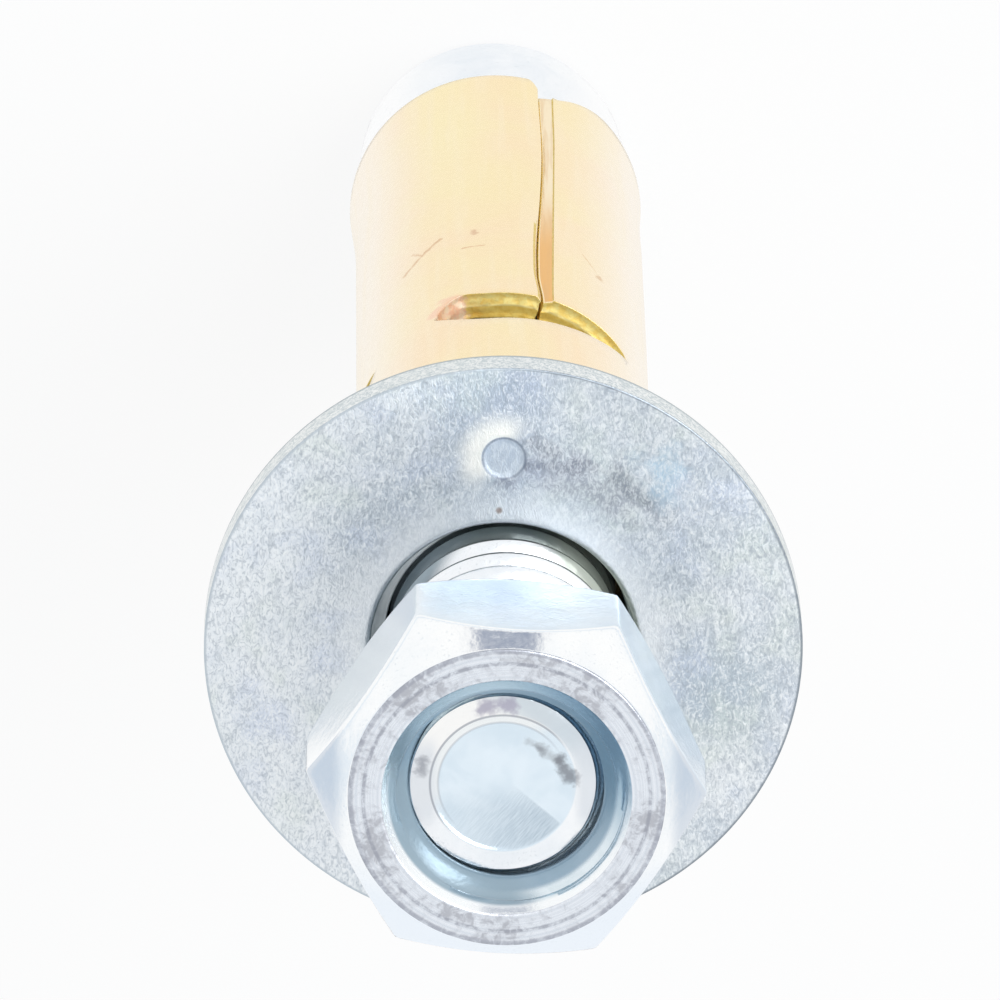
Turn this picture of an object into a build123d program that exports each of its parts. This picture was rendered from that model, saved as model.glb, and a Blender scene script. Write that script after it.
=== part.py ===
"""Sleeve-type wall plug: a coned stud, a split expansion sleeve, a flat washer and a hex nut.

The plug stands on the wide end of its cone. Z runs up the stud's axis from that end to the nut,
and -Y is the front, the side that faces the reader. Everything above the cone is stacked: the
sleeve hangs on the cone, the washer lies on the sleeve, and the nut is on the thread above it.
All sizes are in millimetres and degrees.
"""

import os
from math import radians, sin, tan

from build123d import *

# Stud: a 3/8 inch thread at one end and an expansion cone forged on the other.
thread_diameter = 9.525
thread_pitch = 1.5875
thread_depth = 0.9
thread_turns = 19
thread_runout = 0.8
shank_step = 0.56
tip_chamfer = 1.6
tip_recess = 1.6
cone_step = 0.8
cone_angle = 10.0
cone_band = 2.2
cone_edge = 0.4

# Sleeve: rolled tube, slit into leaves from its foot up to three crescent windows.
sleeve_length = 53.0
sleeve_wall = 1.2
sleeve_clearance = 0.3875
sleeve_chamfer = 0.15
flare_length = 6.0
flare_step = 0.17
seat_gap = 0.1
leaf_count = 3
slit_angle = 17.5
slit_width = 0.55
slit_length = 29.8
notch_width = 1.4
notch_depth = 1.5
window_angle = 84.5
window_height = 3.1
window_tilt = 8.0

# Washer: punched, so its upper edges are broken.
washer_diameter = 25.0
washer_thickness = 1.6
washer_clearance = 0.79
washer_rim_chamfer = 0.25
washer_hole_chamfer = 0.25
dimple_distance = 8.5
dimple_diameter = 1.8
dimple_depth = 0.18

# Nut: hexagon with both faces turned to a circle and the bore countersunk at both ends.
nut_across_flats = 14.29
nut_height = 7.1
nut_clearance = 0.05
nut_face_chamfer = 0.7
nut_countersink = 0.35
nut_gap = 9.8
nut_roll = 3.5

# Radii that follow from those sizes.
thread_radius = thread_diameter / 2
thread_root = thread_radius - thread_depth
shank_radius = thread_radius - shank_step
sleeve_bore = thread_radius + sleeve_clearance
sleeve_radius = sleeve_bore + sleeve_wall
cone_radius = sleeve_bore + cone_step
washer_bore = thread_radius + washer_clearance
nut_bore = thread_radius + nut_clearance

# Heights up the stack. The sleeve's foot is where the cone all but fills its flared bore.
cone_slope = tan(radians(cone_angle))
seat_radius = sleeve_bore + flare_step - seat_gap
sleeve_foot = cone_band + (cone_radius - seat_radius) / cone_slope
cone_top = cone_band + (cone_radius - shank_radius) / cone_slope
sleeve_top = sleeve_foot + sleeve_length
washer_top = sleeve_top + washer_thickness
nut_bottom = washer_top + nut_gap
nut_top = nut_bottom + nut_height
stud_length = nut_top - tip_recess
thread_top = stud_length - tip_chamfer
thread_start = thread_top - thread_turns * thread_pitch


def export_piece(piece, label):
    """Names a finished piece and writes it to parts/."""
    piece.part.label = label
    export_step(piece.part, f"parts/{label}.step")


# The thread is a ring ridge for each turn, with a valley half a pitch above every crest.
thread_ridges = [(thread_radius, thread_start)]
for turn in range(thread_turns):
    valley = thread_start + (turn + 0.5) * thread_pitch
    thread_ridges += [(thread_root, valley), (thread_radius, valley + thread_pitch / 2)]

# The stud is one turned profile: chamfered cone end, band, taper, shank, thread and tip.
with BuildPart() as cone_stud:
    with BuildSketch(Plane.XZ):
        with BuildLine():
            Polyline(
                (0, 0),
                (cone_radius - cone_edge, 0),
                (cone_radius, cone_edge),
                (cone_radius, cone_band),
                (shank_radius, cone_top),
                (shank_radius, thread_start - thread_runout),
                *thread_ridges,
                (thread_radius - tip_chamfer, stud_length),
                (0, stud_length),
                close=True,
            )
        make_face()
    revolve(axis=Axis.Z)

# The sleeve's wall is straight down to the flare, where both of its sides bend outwards alike.
with BuildPart() as expansion_sleeve:
    flare_start = sleeve_foot + flare_length
    with BuildSketch(Plane.XZ):
        with BuildLine():
            bore_side = Line((sleeve_bore, sleeve_top), (sleeve_bore, flare_start))
            bore_flare = TangentArc(
                bore_side @ 1, (sleeve_bore + flare_step, sleeve_foot), tangent=(0, -1)
            )
            outer_side = Line((sleeve_radius, sleeve_top), (sleeve_radius, flare_start))
            outer_flare = TangentArc(
                outer_side @ 1, (sleeve_radius + flare_step, sleeve_foot), tangent=(0, -1)
            )
            Line(bore_side @ 0, outer_side @ 0)
            Line(bore_flare @ 1, outer_flare @ 1)
        make_face()
    revolve(axis=Axis.Z)
    rims = expansion_sleeve.edges().filter_by(GeomType.CIRCLE).group_by(Axis.Z)
    chamfer(rims[-1] + rims[0], length=sleeve_chamfer)

    # Each leaf gap is a slit with a flared mouth at the foot and a crescent window at its head.
    window_reach = sleeve_radius * sin(radians(window_angle / 2))
    window_rise = window_height / 2
    for leaf in range(leaf_count):
        heading = -90 - slit_angle + leaf * 360 / leaf_count
        outwards = Vector(1, 0, 0).rotate(Axis.Z, heading)
        sideways = Vector(0, 1, 0).rotate(Axis.Z, heading)
        with BuildSketch(Plane(origin=(0, 0, sleeve_foot), x_dir=sideways, z_dir=outwards)):
            Rectangle(slit_width, slit_length, align=(Align.CENTER, Align.MIN))
            with BuildLine():
                Polyline(
                    (-notch_width / 2, 0), (notch_width / 2, 0), (0, notch_depth), close=True
                )
            make_face()
            with Locations(Location((0, slit_length), window_tilt)):
                with BuildSketch(mode=Mode.PRIVATE) as window:
                    with BuildLine():
                        ThreePointArc((-window_reach, 0), (0, window_rise), (window_reach, 0))
                        ThreePointArc((window_reach, 0), (0, -window_rise), (-window_reach, 0))
                    make_face()
                add(window.sketch)
        extrude(amount=sleeve_radius + flare_step + sleeve_wall, mode=Mode.SUBTRACT)

# The washer lies on the sleeve. One small round dent is struck into its upper face.
with BuildPart() as flat_washer:
    with BuildSketch(Plane.XY.offset(sleeve_top)):
        Circle(washer_diameter / 2)
        Circle(washer_bore, mode=Mode.SUBTRACT)
    extrude(amount=washer_thickness)
    hole_edge, rim_edge = flat_washer.edges().group_by(Axis.Z)[-1].sort_by(SortBy.LENGTH)
    chamfer(rim_edge, length=washer_rim_chamfer)
    chamfer(hole_edge, length=washer_hole_chamfer)
    dent_radius = ((dimple_diameter / 2) ** 2 + dimple_depth**2) / (2 * dimple_depth)
    with Locations((0, -dimple_distance, washer_top - dimple_depth + dent_radius)):
        Sphere(dent_radius, mode=Mode.SUBTRACT)

# The nut is a hexagonal bar cut to length, common with a turned blank that rounds its corners.
with BuildPart() as hex_nut:
    with BuildSketch(Plane.XY.offset(nut_bottom)):
        RegularPolygon(
            nut_across_flats / 2, side_count=6, major_radius=False, rotation=-nut_roll
        )
    extrude(amount=nut_height)
    face_radius = nut_across_flats / 2 - nut_face_chamfer
    corner_room = nut_height / 2
    with BuildSketch(Plane.XZ):
        with BuildLine():
            Polyline(
                (0, nut_bottom),
                (face_radius, nut_bottom),
                (face_radius + corner_room, nut_bottom + corner_room),
                (face_radius, nut_top),
                (0, nut_top),
                close=True,
            )
        make_face()
    revolve(axis=Axis.Z, mode=Mode.INTERSECT)
    with BuildSketch(Plane.XY.offset(nut_bottom)):
        Circle(nut_bore)
    extrude(amount=nut_height, mode=Mode.SUBTRACT)
    bore_edges = (
        hex_nut.edges()
        .filter_by(GeomType.CIRCLE)
        .filter_by(lambda edge: abs(edge.radius - nut_bore) < nut_clearance)
    )
    chamfer(bore_edges, length=nut_countersink)

os.makedirs("parts", exist_ok=True)
export_piece(cone_stud, "cone_stud")
export_piece(expansion_sleeve, "expansion_sleeve")
export_piece(flat_washer, "flat_washer")
export_piece(hex_nut, "hex_nut")
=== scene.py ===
"""Looks of the wall plug: stud with its cone and rolled thread, slit sleeve, washer and nut.

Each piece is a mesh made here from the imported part's own boxes, and rides on that part's body.
Lengths are in millimetres and angles in degrees, until a mesh, lamp or camera is made.
"""

import math

import bpy
import numpy as np
from mathutils import Matrix, Vector


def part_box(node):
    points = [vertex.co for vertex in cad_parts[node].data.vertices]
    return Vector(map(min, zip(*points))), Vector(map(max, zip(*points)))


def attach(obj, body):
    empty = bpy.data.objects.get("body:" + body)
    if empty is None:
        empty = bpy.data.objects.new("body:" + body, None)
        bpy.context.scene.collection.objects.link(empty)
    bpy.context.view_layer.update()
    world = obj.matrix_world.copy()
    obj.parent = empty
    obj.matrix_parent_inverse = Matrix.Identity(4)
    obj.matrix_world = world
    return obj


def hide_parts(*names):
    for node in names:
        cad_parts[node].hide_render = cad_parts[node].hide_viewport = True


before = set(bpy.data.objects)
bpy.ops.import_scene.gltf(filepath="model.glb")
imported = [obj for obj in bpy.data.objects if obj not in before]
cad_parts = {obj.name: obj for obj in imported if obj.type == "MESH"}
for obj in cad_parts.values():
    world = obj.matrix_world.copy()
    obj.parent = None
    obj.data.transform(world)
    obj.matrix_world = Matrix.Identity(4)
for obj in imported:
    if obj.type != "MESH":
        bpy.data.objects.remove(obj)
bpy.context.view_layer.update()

MM = 0.001


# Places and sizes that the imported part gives.
def box_mm(node):
    """Lowest and highest corner of a CAD node in millimetres."""
    low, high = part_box(node)
    return np.array(low) / MM, np.array(high) / MM


_, stud_high = box_mm("cone_stud")
sleeve_low, sleeve_high = box_mm("expansion_sleeve")
washer_low, washer_high = box_mm("flat_washer")
nut_low, nut_high = box_mm("hex_nut")

STUD_TOP = stud_high[2]
CONE_RADIUS = stud_high[0]
SLEEVE_FOOT, SLEEVE_TOP = sleeve_low[2], sleeve_high[2]
WASHER_RADIUS = washer_high[0]
WASHER_BOTTOM, WASHER_TOP = washer_low[2], washer_high[2]
NUT_BOTTOM, NUT_TOP = nut_low[2], nut_high[2]

# Sizes of the part's source that no box gives.
SLEEVE_RADIUS = 6.35
DENT_DISTANCE = 8.5
CONE_EDGE = 0.4
CONE_BAND = 2.2
CONE_TOP = 12.11
SHANK_RADIUS = 4.2025

# Thread: 3/8 inch, 16 turns to the inch. It starts at a share of a turn round from +X.
PITCH = 25.4 / 16
THREAD_RADIUS = 4.7625
THREAD_ROOT = 3.86
THREAD_LENGTH = 19 * PITCH + 1.6
THREAD_RUNOUT = 0.4
THREAD_START = 0.65

# The stud's rolled end: radii of its flat face and of its rim, and the rim's drop.
TIP_FACE = 2.98
TIP_SHOULDER = 3.8
TIP_DROP = 0.09
# The end sits that far from the nut's middle.
TIP_ASIDE = 0.14


# Mesh helpers. Points are rows of x, y, z in millimetres.
def ease(value, low, high):
    """0 below low, 1 above high and smooth in between."""
    share = np.clip((value - low) / (high - low), 0, 1)
    return share * share * (3 - 2 * share)


def merged(points, faces, kinds, step=1e-4):
    """Points within a step become one, and faces that lose all but two corners go."""
    keys = np.round(points / step).astype(np.int64)
    _, first, back = np.unique(keys, axis=0, return_index=True, return_inverse=True)
    back = back.ravel()
    kept, kept_kinds = [], []
    for face, kind in zip(faces, kinds):
        ring = []
        for corner in back[list(face)]:
            if corner not in ring:
                ring.append(int(corner))
        if len(ring) > 2:
            kept.append(ring)
            kept_kinds.append(kind)
    return points[first], kept, kept_kinds


def new_piece(name, points, faces, materials, sharp, kinds=None):
    """A mesh object from points in millimetres. Edges sharper than the given angle stay crisp.

    kinds gives each face the number of its material.
    """
    mesh = bpy.data.meshes.new(name)
    mesh.from_pydata((np.asarray(points) * MM).tolist(), [], [list(f) for f in faces])
    for material in materials:
        mesh.materials.append(material)
    if kinds is not None:
        mesh.polygons.foreach_set("material_index", np.asarray(kinds, np.int32))
    mesh.polygons.foreach_set("use_smooth", np.ones(len(mesh.polygons), bool))
    mesh.set_sharp_from_angle(angle=math.radians(sharp))
    mesh.validate()
    piece = bpy.data.objects.new(name, mesh)
    bpy.context.scene.collection.objects.link(piece)
    return piece


def polar(radius, angle, z):
    """Points from arrays of radius, angle in degrees and height, which broadcast together."""
    radius, angle, z = np.broadcast_arrays(radius, angle, z)
    turn = np.radians(angle)
    return np.stack([radius * np.cos(turn), radius * np.sin(turn), z], -1)


def ring_faces(rows, columns, start=0):
    """Quads between rings of points that each close on themselves, rings one after another."""
    faces = []
    for i in range(rows - 1):
        low, high = start + i * columns, start + (i + 1) * columns
        for j in range(columns):
            k = (j + 1) % columns
            faces.append((low + j, low + k, high + k, high + j))
    return faces


def helix_sheet(low, high, columns, per_turn, radius_of):
    """Rings of a right-handed thread between two heights, sheared so that they follow the helix.

    radius_of gives the radius from phase, which is 0 to 1 across a pitch, and height.
    The rows past an end lie flat on it, and the sheet's seam joins each turn to the next.
    """
    count = int(math.ceil((high - low) / PITCH) + 3) * per_turn
    base = low - PITCH + PITCH * np.arange(count)[:, None] / per_turn
    angle = 360.0 * np.arange(columns)[None, :] / columns
    z = np.clip(base + PITCH * angle / 360.0, low, high)
    phase = (z / PITCH - angle / 360.0 + THREAD_START) % 1.0
    points = polar(radius_of(phase, z), angle, z).reshape(-1, 3)
    faces = []
    for i in range(count - 1):
        for j in range(columns):
            if j + 1 < columns:
                right, up_right = i * columns + j + 1, (i + 1) * columns + j + 1
            elif i + 1 + per_turn < count:
                right, up_right = (i + per_turn) * columns, (i + 1 + per_turn) * columns
            else:
                continue
            faces.append((i * columns + j, right, up_right, (i + 1) * columns + j))
    return points, faces


def fillet(corner, before, after, radius, steps):
    """Points that round a profile's corner between its neighbours, from before to after."""
    corner, before, after = (np.array(p, float) for p in (corner, before, after))
    u = (before - corner) / np.linalg.norm(before - corner)
    v = (after - corner) / np.linalg.norm(after - corner)
    half = math.acos(max(-1.0, min(1.0, float(u @ v)))) / 2
    cut = radius / math.tan(half)
    middle = corner + (u + v) / np.linalg.norm(u + v) * radius / math.sin(half)
    start, end = corner + u * cut - middle, corner + v * cut - middle
    spread = math.acos(max(-1.0, min(1.0, float(start @ end) / radius**2)))
    turns = np.linspace(0, 1, steps + 1)
    full = math.sin(spread)
    return [
        tuple(middle + (math.sin((1 - t) * spread) * start + math.sin(t * spread) * end) / full)
        for t in turns
    ]


def rounded_profile(corners, radii, steps):
    """An open profile of (radius, height) corners, each rounded by its own radius where not 0."""
    points = [corners[0]]
    for i in range(1, len(corners) - 1):
        if radii[i] > 0:
            points += fillet(corners[i], corners[i - 1], corners[i + 1], radii[i], steps)
        else:
            points.append(corners[i])
    points.append(corners[-1])
    return points


def subdivided(profile, longest):
    """The same profile with extra points, so that no run is longer than the given length."""
    points = [np.array(profile[0], float)]
    for end in profile[1:]:
        end = np.array(end, float)
        parts = max(1, int(math.ceil(np.linalg.norm(end - points[-1]) / longest)))
        start = points[-1]
        points += [start + (end - start) * k / parts for k in range(1, parts + 1)]
    return np.array(points)


def waves(x, y, z, size, seed):
    """Smooth repeatable waviness between about -1 and 1, with features about one size across."""
    draw = np.random.default_rng(seed)
    total = 0.0
    for _ in range(9):
        way = draw.normal(size=3)
        way = way / np.linalg.norm(way) * draw.uniform(0.6, 1.6) * math.pi / size
        total = total + np.sin(x * way[0] + y * way[1] + z * way[2] + draw.uniform(0, 6.283))
    return total / 4.0


# Materials.
class Nodes:
    """Short ways to add nodes to a tree."""

    def __init__(self, tree):
        self.tree = tree

    def node(self, kind, **settings):
        """A new node with its settings, such as its operation."""
        made = self.tree.nodes.new(kind)
        for key, value in settings.items():
            setattr(made, key, value)
        return made

    def link(self, source, target):
        self.tree.links.new(source, target)

    def put(self, socket, value):
        """Links an output, or sets a plain value."""
        if isinstance(value, bpy.types.NodeSocket):
            self.link(value, socket)
        else:
            socket.default_value = value

    def math(self, operation, *values):
        made = self.node("ShaderNodeMath", operation=operation)
        for socket, value in zip(made.inputs, values):
            self.put(socket, value)
        return made.outputs[0]

    def plus(self, first, second):
        return self.math("ADD", first, second)

    def minus(self, first, second):
        return self.math("SUBTRACT", first, second)

    def times(self, *factors):
        """The product of two or more factors."""
        product = factors[-1]
        for factor in reversed(factors[:-1]):
            product = self.math("MULTIPLY", factor, product)
        return product

    def size(self, value):
        """The value without its sign."""
        return self.math("ABSOLUTE", value)

    def vector(self, x, y, z):
        made = self.node("ShaderNodeCombineXYZ")
        for socket, value in zip(made.inputs, (x, y, z)):
            self.put(socket, value)
        return made.outputs[0]

    def band(self, value, low, high, to_high=1.0, to_low=0.0):
        """value from low to high becomes to_low to to_high, smoothly and clamped."""
        made = self.node("ShaderNodeMapRange", interpolation_type="SMOOTHSTEP")
        self.put(made.inputs["Value"], value)
        limits = {"From Min": low, "From Max": high, "To Min": to_low, "To Max": to_high}
        for name, number in limits.items():
            made.inputs[name].default_value = number
        return made.outputs[0]

    def between(self, value, start, full, fading, end):
        """1 from full to fading, and smoothly down to 0 at start and end."""
        return self.times(self.band(value, start, full), self.band(value, end, fading))

    def blend(self, share, first, second):
        """First linear colour, or second where share is 1."""
        made = self.node("ShaderNodeMix", data_type="RGBA")
        for number, value in ((0, share), (6, first), (7, second)):
            self.put(made.inputs[number], value)
        return made.outputs[2]

    def even(self, kind, tone, strength=None):
        """A matte or glowing shader of a linear colour."""
        made = self.node(kind)
        self.put(made.inputs["Color"], tone)
        if strength is not None:
            made.inputs["Strength"].default_value = strength
        return made

    def show(self, output, shader, choices):
        """Gives the output the shader, but other ones, by a share, to rays of the named kinds."""
        rays = self.node("ShaderNodeLightPath")
        for name, other, share in choices:
            mixed = self.node("ShaderNodeMixShader")
            self.link(self.times(rays.outputs[name], share), mixed.inputs[0])
            self.link(shader.outputs[0], mixed.inputs[1])
            self.link(other.outputs[0], mixed.inputs[2])
            shader = mixed
        self.link(shader.outputs[0], output.inputs[0])


class Surface(Nodes):
    """A metal's node tree. Textures lie in the part's own space, in millimetres."""

    def __init__(self, name, metallic=1.0):
        self.material = bpy.data.materials.new(name)
        self.material.use_nodes = True
        super().__init__(self.material.node_tree)
        self.shader = self.tree.nodes["Principled BSDF"]
        self.shader.inputs["Metallic"].default_value = metallic
        coordinates = self.node("ShaderNodeTexCoord")
        scaled = self.node("ShaderNodeVectorMath", operation="SCALE")
        scaled.inputs["Scale"].default_value = 1 / MM
        self.link(coordinates.outputs["Object"], scaled.inputs[0])
        self.place = scaled.outputs[0]
        self.base = None

    def slope(self, x, y, per_x, per_y):
        """A value that grows by per_x along x and by per_y along y."""
        return self.plus(self.times(x, per_x), self.times(y, per_y))

    def axes(self):
        """The three coordinates in millimetres."""
        split = self.node("ShaderNodeSeparateXYZ")
        self.link(self.place, split.inputs[0])
        return split.outputs

    def distance(self, x, y, at_x, at_y):
        """Distance in the plane from one place."""
        offsets = [self.minus(v, at) for v, at in ((x, at_x), (y, at_y))]
        return self.math("SQRT", self.plus(*[self.math("POWER", v, 2.0) for v in offsets]))

    def mapped(self, where, setting, value):
        """A place after a rotation in radians, or a scale, about the part's origin."""
        made = self.node("ShaderNodeMapping")
        made.inputs[setting].default_value = value
        self.link(where, made.inputs["Vector"])
        return made.outputs[0]

    def upward(self):
        """How far the surface faces along the axis, either way, from 0 to 1."""
        split = self.node("ShaderNodeSeparateXYZ")
        self.link(self.node("ShaderNodeTexCoord").outputs["Normal"], split.inputs[0])
        return self.size(split.outputs[2])

    def stroke(self, u, v, start, end, width, grain, core):
        """1 along a worn stroke between two places, broken up by noise and 0 away from it.

        grain is the noise's scale, and core the solid share of the width.
        """
        length = math.hypot(end[0] - start[0], end[1] - start[1])
        way = ((end[0] - start[0]) / length, (end[1] - start[1]) / length)
        du, dv = self.minus(u, start[0]), self.minus(v, start[1])
        along = self.slope(du, dv, way[0], way[1])
        aside = self.minus(self.times(du, way[1]), self.times(dv, way[0]))
        past = self.math("MAXIMUM", self.minus(along, length), self.times(along, -1.0))
        away = self.distance(self.math("MAXIMUM", past, 0.0), aside, 0.0, 0.0)
        uneven = self.minus(self.noise(grain, 3.0, 0.6), 0.5)
        wobble = self.times(uneven, width * 2.5)
        return self.band(self.plus(away, wobble), width, width * core)

    def noise(self, scale, detail=2.0, roughness=0.5, distortion=0.0, where=None, stretch=None):
        """Noise of about 0 to 1, its features about 1 / scale millimetres across."""
        where = self.place if where is None else where
        if stretch is not None:
            where = self.mapped(where, "Scale", stretch)
        made = self.node("ShaderNodeTexNoise")
        self.link(where, made.inputs["Vector"])
        made.inputs["Scale"].default_value = scale
        made.inputs["Detail"].default_value = detail
        made.inputs["Roughness"].default_value = roughness
        made.inputs["Distortion"].default_value = distortion
        return made.outputs["Fac"]

    def mix(self, share, first, second):
        """First colour, or second where share is 1, from 0 to 255 sRGB values."""
        return self.blend(share, colour(first), colour(second))

    def coat(self, share, tone):
        """Covers that share of the base colour with another."""
        self.base = self.mix(share, self.base, tone)

    def scuff(self, u, v, marks, grain, core, *within):
        """Coats worn strokes, given by rows of start, end, width, share and tone, inside masks."""
        for start, end, width, share, tone in marks:
            mark = self.stroke(u, v, start, end, width, grain, core)
            self.coat(self.times(*within, mark, share), tone)

    def bump(self, height, distance, before=None):
        """Bump of that many millimetres, on top of an earlier one."""
        made = self.node("ShaderNodeBump")
        made.inputs["Distance"].default_value = distance * MM
        self.link(height, made.inputs["Height"])
        if before is not None:
            self.link(before, made.inputs["Normal"])
        return made.outputs[0]

    def finish(self, roughness, normal):
        self.put(self.shader.inputs["Base Color"], self.base)
        self.put(self.shader.inputs["Roughness"], roughness)
        self.link(normal, self.shader.inputs["Normal"])
        return self.material


def colour(values):
    """Linear RGBA from 0 to 255 sRGB values above 10. A node's output is handed back as it is."""
    if isinstance(values, bpy.types.NodeSocket):
        return values
    return (*(((v / 255 + 0.055) / 1.055) ** 2.4 for v in values), 1.0)


def stud_zinc():
    """Bright plated steel, with a painted highlight down its sides, painted shade inside the
    washer's hole, and painted light and shade on its scuffed end face.
    """
    s = Surface("zinc_bright_stud")
    x, y, z = s.axes()
    cloud = s.band(s.noise(0.45, 3.0, 0.55, 0.4), 0.32, 0.68)
    fine = s.noise(5.0, 3.0, 0.6)
    s.base = s.mix(cloud, (246, 249, 252), (238, 243, 248))
    # Painted highlight: the stud is whitened towards its sides along x.
    s.coat(s.band(s.size(x), 1.5, 4.8, 0.85), (255, 255, 255))
    s.coat(s.band(s.noise(9.0), 0.62, 0.74, 0.3), (196, 204, 212))
    # Painted shade inside the washer's hole and just above it: a grey-teal coat with less metal,
    # lighter towards +x and olive grey towards -x.
    level = s.minus(z, s.times(s.math("POWER", s.size(x), 2.0), 0.12))
    inside = s.band(level, WASHER_TOP - 0.44, WASHER_BOTTOM + 0.36)
    inside = s.times(s.band(z, 30.0, 40.0), inside)
    hole_shade_tone = s.mix(s.band(x, 0.5, 3.5), (106, 120, 122), (164, 180, 190))
    hole_shade_tone = s.mix(s.band(x, -1.0, -3.5), hole_shade_tone, (190, 198, 188))
    s.coat(inside, hole_shade_tone)
    s.put(s.shader.inputs["Metallic"], s.minus(1.0, s.times(inside, 0.8)))
    # End face: bluish inside its rolled rim, with a paler step on one side as a painted highlight,
    # painted shade on the rim to one side and at its left and right, and two painted shadow lines
    # along arcs.
    face = s.band(z, STUD_TOP - 0.44, STUD_TOP - 0.29)
    away = s.distance(x, y, TIP_ASIDE, 0.0)
    flat = s.mix(cloud, (229, 241, 250), (216, 231, 242))
    s.coat(s.times(face, s.band(away, 3.04, 2.94)), flat)
    slant = s.minus(s.times(x, 0.6), s.times(y, 0.8))
    # Painted highlight beyond the step on one side.
    step = s.times(s.band(away, 2.62, 2.7), s.band(slant, 0.4, 1.6))
    s.coat(s.times(face, step, 0.6), (250, 248, 244))
    # Painted shade on the rim towards -x and -y.
    shade = s.slope(x, y, 0.6, 0.8)
    shade = s.times(s.band(shade, -1.8, -3.2, 0.8), s.band(away, 3.0, 3.1))
    s.coat(s.times(face, shade), (196, 208, 217))
    # Painted shade on the rim's left and right.
    rim_side_shade = s.times(s.band(s.size(x), 2.6, 3.2), s.band(s.size(y), 2.4, 1.2))
    s.coat(s.times(face, rim_side_shade, 0.8), (219, 225, 232))
    # Painted shadow lines along two arcs on one side.
    for radius, share in ((2.99, 0.75), (2.66, 0.35)):
        off = s.size(s.minus(away, radius))
        line = s.times(s.band(off, 0.075, 0.015, share), s.band(slant, -0.6, 1.0))
        s.coat(s.times(face, line), (152, 158, 168))
    # A fan of fine blue scratches, sharp along one side, ends at the rim.
    side = s.slope(x, y, 0.665, 0.746)
    fan = s.times(s.band(side, -0.22, -0.08), s.band(away, 2.98, 2.86))
    fan = s.times(fan, s.band(y, -0.3, 1.5), s.band(x, 2.5, -1.2, 1.0, 0.25))
    turned = s.mapped(s.place, "Rotation", (0, 0, math.radians(38.0)))
    scratch = s.noise(4.0, 2.0, 0.6, where=turned, stretch=(5.0, 0.4, 1.0))
    fan_tone = s.mix(s.band(scratch, 0.3, 0.7), (186, 202, 215), (206, 220, 231))
    s.coat(s.times(face, fan), fan_tone)
    nicks = (
        ((-0.9, -1.85), (-2.2, -0.9), 0.3, 0.5, (160, 164, 168)),
        ((-2.2, -0.95), (-2.7, -0.15), 0.42, 0.8, (124, 128, 136)),
        ((-1.2, -1.6), (-1.5, -1.4), 0.26, 0.6, (130, 134, 142)),
        ((1.0, -3.3), (-0.1, -3.45), 0.55, 0.85, (170, 168, 186)),
        ((3.4, -1.0), (3.5, -0.6), 0.4, 0.7, (140, 144, 154)),
    )
    s.scuff(x, y, nicks, 1.6, 0.0, face)
    rough = s.plus(s.band(fine, 0.3, 0.7, 0.09), 0.14)
    normal = s.bump(fine, 0.006)
    normal = s.bump(s.noise(0.9), 0.03, before=normal)
    return s.finish(rough, normal)


def nut_zinc():
    """Bright plated steel, coloured by the way each surface faces as painted light: the turned
    corners and faces painted whiter than the bluer flats, the flats whitened on one side as a
    painted reflection, and the turned surfaces given painted shade at their left and right and a
    bluer one on one side.
    """
    s = Surface("zinc_bright_nut")
    x, y, _ = s.axes()
    cloud = s.band(s.noise(0.35, 3.0, 0.55, 0.4), 0.32, 0.68)
    fine = s.noise(5.0, 3.0, 0.6)
    flats = s.mix(cloud, (229, 239, 247), (216, 229, 240))
    # Painted reflection: the flats are whitened towards +x.
    flats = s.mix(s.band(x, 2.6, 4.6), flats, (252, 254, 255))
    turned = s.mix(cloud, (254, 255, 255), (248, 251, 253))
    # Painted shade on the turned surfaces at their left and right, and a bluer painted shade
    # towards +y.
    turned = s.mix(s.band(s.size(x), 6.5, 7.2, 0.8), turned, (208, 217, 228))
    turned = s.mix(s.band(y, 2.0, 5.0, 0.9), turned, (235, 243, 252))
    # Painted highlight: surfaces that face along the axis take the whiter turned tone.
    s.base = s.mix(s.band(s.upward(), 0.25, 0.5), flats, turned)
    s.coat(s.band(s.noise(10.0), 0.6, 0.74, 0.3), (206, 216, 226))
    rough = s.plus(s.band(fine, 0.3, 0.7, 0.07), 0.11)
    normal = s.bump(fine, 0.006)
    normal = s.bump(s.noise(0.8), 0.02, before=normal)
    return s.finish(rough, normal)


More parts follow.
